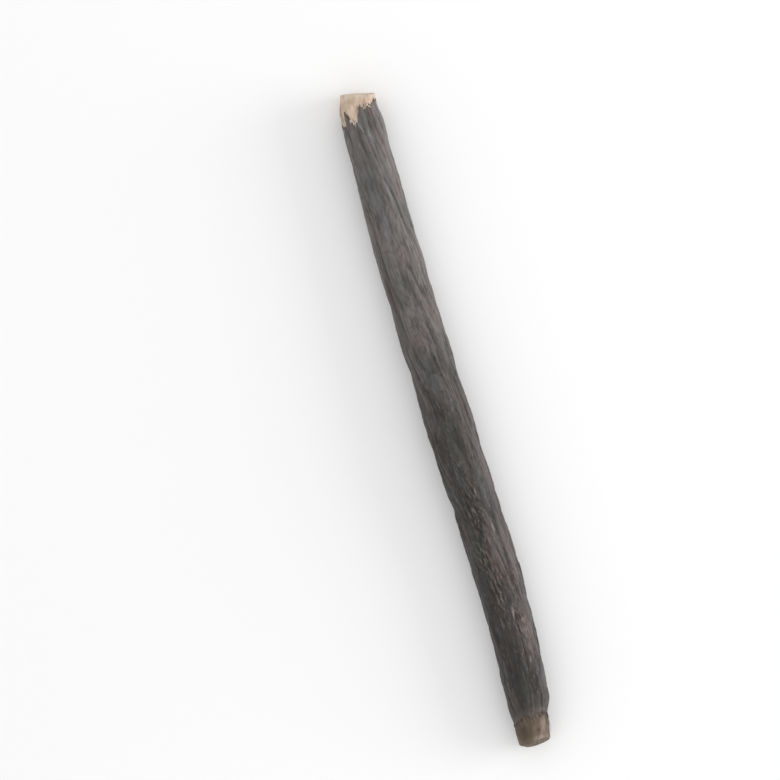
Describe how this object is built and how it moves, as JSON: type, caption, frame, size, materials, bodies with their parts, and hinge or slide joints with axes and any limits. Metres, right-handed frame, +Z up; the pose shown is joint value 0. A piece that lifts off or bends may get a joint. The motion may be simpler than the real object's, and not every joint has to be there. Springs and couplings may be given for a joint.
{
  "type": "licorice root",
  "caption": "Dried licorice root stick with wrinkled bark, torn back to bare wood at both cut ends.",
  "frame": {"origin": "on the surface that the stick lies on, under the middle of its box", "axes": "+X along the stick towards its paler cut end, +Z up, away from the surface"},
  "size_m": [0.1545, 0.0137, 0.0113],
  "materials": {
    "bark": "matte, wrinkled, dark grey-brown",
    "wood": "matte, pale straw to olive tan, fibrous"
  },
  "bodies": {
    "root": {"licorice_root": "bark"}
  },
  "joints": []
}
